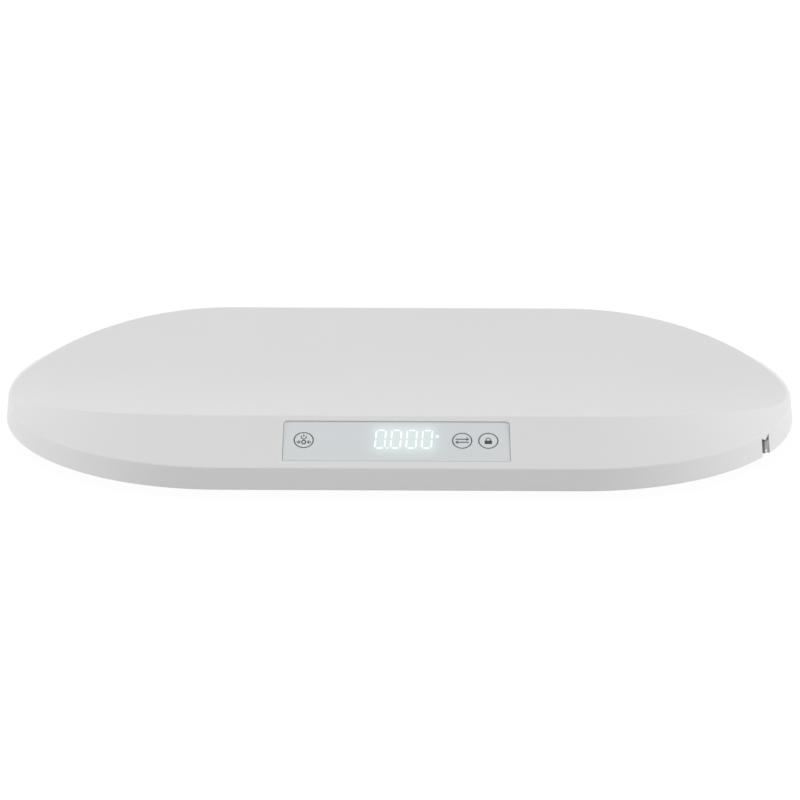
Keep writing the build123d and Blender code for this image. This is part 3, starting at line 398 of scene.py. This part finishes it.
# the panel plate and the keys in it: cool grey, with a soft light round the lit digits
panelLook = {
    "pale": (0.740, 0.771, 0.786), "deep": (0.725, 0.758, 0.777), "rough": (0.3, 0.38), "bump": 0.02,
    "grain": 0.0005, "flow": 0.05, "glowMiddle": (0.0055, 0.0188), "glowHalf": (0.0155, 0.0058),
    "glowSoft": 0.0069, "glowColour": (0.112, 0.162, 0.150),
}


def panelGlow(tree, look):                # even over a rectangle, and fading beyond its edges
    away = vectorNode(tree, "SUBTRACT", surfacePlace(tree), onPanel(*look["glowMiddle"]))
    squares = []
    for direction, half in zip(("across", "up"), look["glowHalf"]):
        distance = mathNode(tree, "ABSOLUTE", vectorNode(tree, "DOT_PRODUCT", away, panel[direction]))
        outside = mathNode(tree, "MAXIMUM", mathNode(tree, "SUBTRACT", distance, half), 0.0)
        share = mathNode(tree, "DIVIDE", outside, look["glowSoft"])
        squares.append(mathNode(tree, "POWER", share, 2.0))
    fall = mathNode(tree, "MULTIPLY", mathNode(tree, "ADD", *squares), -1.0)
    return mixColour(tree, mathNode(tree, "EXPONENT", fall), (0, 0, 0), look["glowColour"])


def makePanel(look):
    material = makePlastic("panel", look, smooth=True)
    tree = material.node_tree
    light = panelGlow(tree, look)
    feed(tree, tree.nodes["Principled BSDF"], {"Emission Color": light, "Emission Strength": 1.0})
    return material


finishes["panel"] = makePanel(panelLook)
finishes["key_cap"] = makePlastic("key_cap", panelLook, smooth=True)

boardLook = {
    "mask": (0.03, 0.20, 0.09), "track": (0.06, 0.30, 0.14), "pitch": 0.0026, "trackEdge": (0.04, 0.09),
    "rough": (0.3, 0.42), "grain": 0.0008, "flow": 0.02, "bump": 0.3, "depth": 0.00005,
}


def makeBoard(look):
    material, tree, shader = newMaterial("circuit_board")
    cells = addNode(tree, "TexVoronoi", {"Vector": surfacePlace(tree), "Scale": 1 / look["pitch"]},
                    distance="MANHATTAN", feature="DISTANCE_TO_EDGE")
    line = maskBetween(tree, cells.outputs["Distance"], *look["trackEdge"])
    skin = placeGroup(tree, mouldedSkin, {"Grain Size": look["grain"], "Flow Size": look["flow"]})
    feed(tree, shader, {
        "Base Color": mixColour(tree, line, look["track"], look["mask"]),
        "Roughness": spread(tree, skin["Flow"], *look["rough"]),
        "Normal": addBump(tree, line, look["bump"], look["depth"]),
    })
    return material


finishes["circuit_board"] = makeBoard(boardLook)

gaugeLook = {"film": (0.55, 0.33, 0.10), "foil": (0.62, 0.58, 0.50), "pitch": 0.00377, "bend": 0.4,
             "rough": (0.45, 0.3)}


def makeGauge(look):
    material, tree, shader = newMaterial("gauge_film")
    scale = math.tau / 20 / look["pitch"]     # at a scale of 1 the texture repeats each tau / 20
    inputs = {"Vector": surfacePlace(tree), "Scale": scale, "Distortion": look["bend"]}
    wave = addNode(tree, "TexWave", inputs, bands_direction="X").outputs["Fac"]
    feed(tree, shader, {
        "Base Color": mixColour(tree, wave, look["film"], look["foil"]),
        "Roughness": spread(tree, wave, *look["rough"]),
    })
    return material


finishes["gauge_film"] = makeGauge(gaugeLook)

# the shares are parts of a cell's length
batteryLook = {
    "wrap": (0.05, 0.055, 0.065), "band": (0.62, 0.42, 0.20), "can": (0.62, 0.62, 0.63),
    "bandShare": 0.30, "nubShare": 0.035, "tailShare": 0.012, "patch": 0.008, "rough": (0.25, 0.35),
}


def makeBatteryWrap(look):
    material, tree, shader = newMaterial("battery_wrap")
    low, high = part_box("batteries")
    x = addNode(tree, "SeparateXYZ", {0: surfacePlace(tree)}).outputs["X"]
    share = maskBetween(tree, x, low.x, high.x)
    band = mathNode(tree, "GREATER_THAN", share, 1 - look["bandShare"])
    nub = mathNode(tree, "GREATER_THAN", share, 1 - look["nubShare"])
    tail = mathNode(tree, "LESS_THAN", share, look["tailShare"])
    bare = mathNode(tree, "MAXIMUM", nub, tail)
    wrap = mixColour(tree, band, look["wrap"], look["band"])
    touch = placeGroup(tree, touchMarks, {"Patch Size": look["patch"]})
    feed(tree, shader, {
        "Base Color": mixColour(tree, bare, wrap, look["can"]),
        "Metallic": bare,
        "Roughness": spread(tree, touch["Mask"], *look["rough"]),
    })
    return material


finishes["battery_wrap"] = makeBatteryWrap(batteryLook)

# lit bars of the digits
lightLook = {"core": (1.0, 1.0, 1.0), "edge": (0.86, 0.98, 0.98), "strength": 0.5, "spark": 0.0012,
             "grain": 0.0004, "rough": (0.4, 0.5)}


def makeLight(look):
    material, tree, shader = newMaterial("light_bar")
    skin = placeGroup(tree, mouldedSkin, {"Grain Size": look["grain"], "Flow Size": look["spark"]})
    glow = mixColour(tree, skin["Flow"], look["core"], look["edge"])
    feed(tree, shader, {
        "Base Color": glow,
        "Emission Color": glow,
        "Emission Strength": look["strength"],
        "Roughness": spread(tree, skin["Grain"], *look["rough"]),
    })
    return material


finishes["light_bar"] = makeLight(lightLook)

# printed ink of the rings and signs
inkLook = {"pale": (0.055, 0.056, 0.06), "deep": (0.04, 0.042, 0.045), "rough": (0.4, 0.5),
           "grain": 0.0003, "flow": 0.004, "bump": 0.05}
finishes["ink"] = makePlastic("keyInk", inkLook)

# cloth tape: a fine weave, and marks, each with its step along the tape and its length in metres
tapeLook = {
    "cloth": (0.84, 0.82, 0.74), "thread": (0.78, 0.76, 0.68), "ink": (0.06, 0.06, 0.065),
    "weave": 0.00035, "rough": (0.55, 0.7), "bump": 0.3, "depth": 0.00005,
    "markWidth": 0.00022, "marks": ((0.001, 0.0009), (0.005, 0.0014), (0.010, 0.0019)),
}


def tapeMarks(tree, look, along, height, lowEdge):
    ink = 0.0
    for step, length in look["marks"]:
        turn = mathNode(tree, "DIVIDE", along, step)
        nearest = mathNode(tree, "SUBTRACT", turn, mathNode(tree, "ROUND", turn))
        nearest = mathNode(tree, "ABSOLUTE", nearest)
        line = mathNode(tree, "LESS_THAN", nearest, look["markWidth"] / 2 / step)
        low = mathNode(tree, "LESS_THAN", height, lowEdge + length)
        ink = mathNode(tree, "MAXIMUM", ink, mathNode(tree, "MULTIPLY", line, low))
    return ink


def makeTapeCloth(look):
    material, tree, shader = newMaterial("tape_cloth")
    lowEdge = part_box("tape_stage_1")[0].z
    place = surfacePlace(tree)
    along = vectorNode(tree, "DOT_PRODUCT", place, jointAxis("tape_pull"))
    height = addNode(tree, "SeparateXYZ", {0: place}).outputs["Z"]
    ink = tapeMarks(tree, look, along, height, lowEdge)
    warp, weft = (
        mathNode(tree, "SINE", mathNode(tree, "MULTIPLY", thread, math.tau / look["weave"]))
        for thread in (along, height)
    )
    weave = spread(tree, mathNode(tree, "MULTIPLY", warp, weft), 0.0, 1.0)
    cloth = mixColour(tree, weave, look["cloth"], look["thread"])
    feed(tree, shader, {
        "Base Color": mixColour(tree, ink, cloth, look["ink"]),
        "Roughness": spread(tree, weave, *look["rough"]),
        "Normal": addBump(tree, weave, look["bump"], look["depth"]),
    })
    return material


finishes["tape_cloth"] = makeTapeCloth(tapeLook)

for part in frame["record"]["subparts"]:
    for slot in nodes[part["node"]].material_slots:
        slot.material = finishes[part["material_slot"]]
print("finishes on", len(nodes), "nodes")


# thin printed and lit shapes on the panel, as closed prisms
def ribbonSides(points, width, closed):
    count = len(points)
    left, right = [], []
    for i, point in enumerate(points):
        before = points[(i - 1) % count] if closed or i > 0 else point
        after = points[(i + 1) % count] if closed or i < count - 1 else point
        run = Vector((after[0] - before[0], after[1] - before[1])).normalized()
        side = Vector((-run.y, run.x)) * width / 2
        left.append((point[0] + side.x, point[1] + side.y))
        right.append((point[0] - side.x, point[1] - side.y))
    return left, right


def ribbonPrism(verts, faces, points, width, lift, closed=False):
    left, right = ribbonSides(points, width, closed)
    count, base = len(points), len(verts)
    deep = 2 * count                      # from a front corner to the one behind it
    for height in (lift, -lift):
        verts += [onPanel(x, y, height) for x, y in left + right]
    for i in range(count if closed else count - 1):
        j = (i + 1) % count
        a, b, c, d = base + i, base + j, base + count + j, base + count + i
        faces += [(a, d, c, b), (a + deep, b + deep, c + deep, d + deep)]
        faces += [(a, b, b + deep, a + deep), (d, d + deep, c + deep, c)]
    if not closed:
        for a, d in ((base, base + count), (base + deep - 1, base + count - 1)):
            faces.append((a, a + deep, d + deep, d))


def platePrism(verts, faces, points, lift):
    count, base = len(points), len(verts)
    for height in (lift, -lift):
        verts += [onPanel(x, y, height) for x, y in points]
    faces.append(tuple(base + i for i in range(count)))
    faces.append(tuple(base + count + i for i in reversed(range(count))))
    for i in range(count):
        j = (i + 1) % count
        faces.append((base + i, base + count + i, base + count + j, base + j))


def arcPoints(x, y, radius, sweep, steps):       # the sweep's start and end in degrees
    start, end = sweep
    turns = [math.radians(start + (end - start) * i / steps) for i in range(steps + 1)]
    return [(x + radius * math.cos(turn), y + radius * math.sin(turn)) for turn in turns]


def makePiece(name, verts, faces, material, body):
    mesh = bpy.data.meshes.new(name)
    mesh.from_pydata(verts, [], faces)
    mesh.materials.append(material)
    piece = bpy.data.objects.new(name, mesh)
    bpy.context.scene.collection.objects.link(piece)
    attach(piece, body)


# key prints: a ring round each key, and signs measured from the key's middle, in metres
keyPrint = {"ringRadius": 0.00635, "ringWidth": 0.0006, "lift": 0.00003, "ringSteps": 96,
            "stroke": 0.0008, "fineStroke": 0.0006, "signSteps": 20}
powerMark = {"up": 0.0026, "radius": 0.0017, "sweep": (140, 400), "bar": (0.0002, 0.0025)}
zeroMark = {"down": 0.0017, "radius": 0.0013, "tall": 1.25, "arrowTip": 0.0023, "arrowTail": 0.0050,
            "shaftShort": 0.0006, "headLength": 0.0013, "headHalf": 0.0014}
swapMark = {"apart": 0.0013, "reach": 0.0045,
            "shaftShort": 0.0005, "headLength": 0.0018, "headHalf": 0.0013}
lockMark = {"bodyHalf": 0.0025, "bodyDown": 0.0013, "bodyTall": 0.0029,
            "shackleUp": 0.0010, "shackleRadius": 0.0014, "shackleSteps": 12}


def arrow(tail, tip, level, mark):
    way = 1 if tip > tail else -1
    back = tip - way * mark["headLength"]
    shaft = [(tail, level), (tip - way * mark["shaftShort"], level)]
    head = [(back, level + mark["headHalf"]), (tip, level), (back, level - mark["headHalf"])]
    return [(shaft, keyPrint["stroke"]), (head, keyPrint["fineStroke"])]


def powerSign(x, y):
    low, high = powerMark["bar"]
    arc = arcPoints(x, y, powerMark["radius"], powerMark["sweep"], keyPrint["signSteps"])
    return [(arc, keyPrint["fineStroke"]), ([(x, y + low), (x, y + high)], keyPrint["fineStroke"])]


def zeroSign(x, y):                       # a nought between two arrows that point at it
    ring = arcPoints(x, y, zeroMark["radius"], (0, 360), keyPrint["signSteps"])
    strokes = [([(px, y + (py - y) * zeroMark["tall"]) for px, py in ring], keyPrint["stroke"])]
    for side in (-1, 1):
        strokes += arrow(x + side * zeroMark["arrowTail"], x + side * zeroMark["arrowTip"], y, zeroMark)
    return strokes


def tareSigns(x, y):
    return powerSign(x, y + powerMark["up"]) + zeroSign(x, y - zeroMark["down"])


def swapSign(x, y):                       # two arrows that pass each other
    strokes = []
    for side in (-1, 1):
        reach = side * swapMark["reach"]
        strokes += arrow(x - reach, x + reach, y + side * swapMark["apart"], swapMark)
    return strokes


def lockSign(x, y):
    half, level = lockMark["bodyHalf"], y - lockMark["bodyDown"]
    body = [(x - half, level), (x + half, level)]
    middle = y + lockMark["shackleUp"]
    bow = arcPoints(x, middle, lockMark["shackleRadius"], (0, 180), lockMark["shackleSteps"])
    shackle = [(bow[0][0], y)] + bow + [(bow[-1][0], y)]
    return [(body, lockMark["bodyTall"]), (shackle, keyPrint["fineStroke"])]


def makeKeyPrint(key, signs):
    low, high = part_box(key + "_plunger")
    x, y = panelPlace((low + high) / 2)
    verts, faces = [], []
    ring = arcPoints(x, y, keyPrint["ringRadius"], (0, 360), keyPrint["ringSteps"])[:-1]
    ribbonPrism(verts, faces, ring, keyPrint["ringWidth"], keyPrint["lift"], closed=True)
    for points, width in signs(x, y):
        ribbonPrism(verts, faces, points, width, keyPrint["lift"])
    makePiece(key + "_key_print", verts, faces, finishes["ink"], key + "_key")


makeKeyPrint("tare", tareSigns)
makeKeyPrint("unit", swapSign)
makeKeyPrint("hold", lockSign)
print("key prints made")

# the display shows zero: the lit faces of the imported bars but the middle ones, and the point
litLook = {
    "lift": 0.00004, "frontZone": 0.0001, "middleZone": 0.15, "pointCorners": 8,
    "edge": 0.00025, "flatShare": 0.89, "pointShare": 0.78, "softenRounds": 2, "softenCut": 0.25,
}
unitMark = {
    "away": 0.0025, "below": 0.0059, "half": 0.0008, "foot": 0.0011, "top": 0.0008, "stroke": 0.0004,
    "ringSweep": (-30, 210), "ringSteps": 10,
}


def middleOf(points):
    return sum(x for x, y in points) / len(points), sum(y for x, y in points) / len(points)


def inset(points, depth):                 # the corners run counter-clockwise
    moved = []
    for i, point in enumerate(points):
        inward = []
        for a, b in ((points[i - 1], point), (point, points[(i + 1) % len(points)])):
            run = Vector((b[0] - a[0], b[1] - a[1])).normalized()
            inward.append(Vector((-run.y, run.x)))
        step = (inward[0] + inward[1]) * depth / (1 + inward[0].dot(inward[1]))
        moved.append((point[0] + step.x, point[1] + step.y))
    return moved


def shrink(points, shareX, shareY):
    middleX, middleY = middleOf(points)
    return [(middleX + (x - middleX) * shareX, middleY + (y - middleY) * shareY) for x, y in points]


def soften(points, rounds, cut):          # each round cuts every corner off
    for _ in range(rounds):
        softer = []
        for (ax, ay), (bx, by) in zip(points, points[1:] + points[:1]):
            softer.append((ax * (1 - cut) + bx * cut, ay * (1 - cut) + by * cut))
            softer.append((ax * cut + bx * (1 - cut), ay * cut + by * (1 - cut)))
        points = softer
    return points


def barOutlines():
    mesh = nodes["display_segments"].data
    front = max(vertex.co.dot(panel["out"]) for vertex in mesh.vertices) - litLook["frontZone"]
    groups = []                           # each front face's corners, which its triangles share
    for polygon in mesh.polygons:
        corners = [mesh.vertices[i].co for i in polygon.vertices]
        if min(corner.dot(panel["out"]) for corner in corners) < front:
            continue
        spots = {tuple(round(value, 6) for value in corner) for corner in corners}     # to a micrometre
        for group in [group for group in groups if group & spots]:
            groups.remove(group)
            spots |= group
        groups.append(spots)
    outlines = []
    for group in groups:
        points = [panelPlace(corner) for corner in sorted(group)]
        middleX, middleY = middleOf(points)
        points.sort(key=lambda point: math.atan2(point[1] - middleY, point[0] - middleX))
        outlines.append(points)
    return outlines


def litShape(points):                     # the point has more corners than a bar
    if len(points) < litLook["pointCorners"]:
        points = inset(points, litLook["edge"])
        width, height = (max(values) - min(values) for values in zip(*points))
        if width > height:
            points = shrink(points, litLook["flatShare"], 1.0)
    else:
        points = shrink(points, litLook["pointShare"], litLook["pointShare"])
    return soften(points, litLook["softenRounds"], litLook["softenCut"])


def makeLitDigits(outlines):
    levels = [y for points in outlines for x, y in points]
    low, high = min(levels), max(levels)
    verts, faces = [], []
    for points in outlines:
        level = (middleOf(points)[1] - low) / (high - low)
        if abs(level - 0.5) >= litLook["middleZone"]:
            platePrism(verts, faces, litShape(points), litLook["lift"])
    makePiece("lit_digits", verts, faces, finishes["light_bar"], "housing")


def makeUnitMark(outlines):               # a small weight with its ring, after the last digit
    corners = [corner for points in outlines for corner in points]
    x = max(x for x, y in corners) + unitMark["away"]
    y = max(y for x, y in corners) - unitMark["below"]
    half, foot, top = unitMark["half"], unitMark["foot"], unitMark["top"]
    verts, faces = [], []
    body = [(x - foot, y - half), (x + foot, y - half), (x + top, y + half / 2), (x - top, y + half / 2)]
    ribbonPrism(verts, faces, body, unitMark["stroke"], litLook["lift"], closed=True)
    loop = arcPoints(x, y + half, half / 2, unitMark["ringSweep"], unitMark["ringSteps"])
    ribbonPrism(verts, faces, loop, unitMark["stroke"], litLook["lift"])
    makePiece("lit_unit_mark", verts, faces, finishes["light_bar"], "housing")


bars = barOutlines()
makeLitDigits(bars)
makeUnitMark(bars)
print("digits lit")
